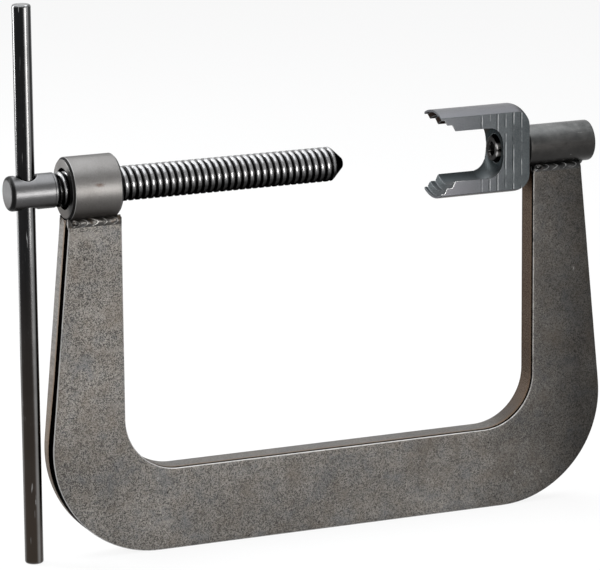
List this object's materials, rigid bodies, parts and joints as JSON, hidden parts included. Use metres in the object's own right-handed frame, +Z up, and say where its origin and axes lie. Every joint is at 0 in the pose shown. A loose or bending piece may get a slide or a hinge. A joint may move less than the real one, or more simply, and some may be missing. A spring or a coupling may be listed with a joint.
{
  "type": "valve spring compressor",
  "caption": "Hand tool with a C-shaped plate frame: a forcing screw with a sliding tommy bar on one leg presses a valve towards a stepped swivelling fork on the other leg.",
  "frame": {"origin": "centre of the flat bottom edge of the frame, midway between the legs and midway through the plate", "axes": "+X along the forcing screw towards the fork, +Y to the rear of the plate, +Z up from the base to the screw"},
  "size_m": [0.2918, 0.0286, 0.256],
  "materials": {
    "plate_steel": "grainy hot-rolled plate, warm grey",
    "turned_steel": "smooth turned grey steel",
    "dark_stub_steel": "mottled dark oxide",
    "weld_metal": "rippled dark grey bead",
    "screw_steel": "oiled dark thread with bright crests",
    "bar_steel": "polished near-black rod",
    "fork_steel": "milled slate grey",
    "black_oxide": "black oxide"
  },
  "bodies": {
    "frame": {"frame_plate": "plate_steel", "screw_boss": "turned_steel", "fork_boss": "dark_stub_steel", "weld_screw_front": "weld_metal", "weld_screw_rear": "weld_metal", "weld_fork_front": "weld_metal", "weld_fork_rear": "weld_metal", "weld_fork_end": "weld_metal", "fork_screw": "black_oxide"},
    "point": {"screw_point": "screw_steel"},
    "screw": {"forcing_screw": "screw_steel"},
    "bar": {"tommy_bar": "bar_steel"},
    "fork": {"fork": "fork_steel"}
  },
  "joints": [
    {"name": "screw_feed", "type": "slide", "parent": "frame", "child": "point", "axis": [1, 0, 0], "range_m": [-0.10161, 0.00318]},
    {"name": "screw_turn", "type": "hinge", "parent": "point", "child": "screw", "pos_m": [-0.1, 0, 0.1714], "axis": [1, 0, 0], "range_deg": [-11520, 360]},
    {"name": "bar_slide", "type": "slide", "parent": "screw", "child": "bar", "axis": [0, 0, 1], "range_m": [-0.074, 0.161]},
    {"name": "fork_swivel", "type": "hinge", "parent": "frame", "child": "fork", "pos_m": [0.08, 0, 0.1714], "axis": [1, 0, 0], "continuous": true}
  ],
  "couplings": [
    {"joint": "screw_feed", "follows": "screw_turn", "m_per_rad": 0.00050532}
  ]
}
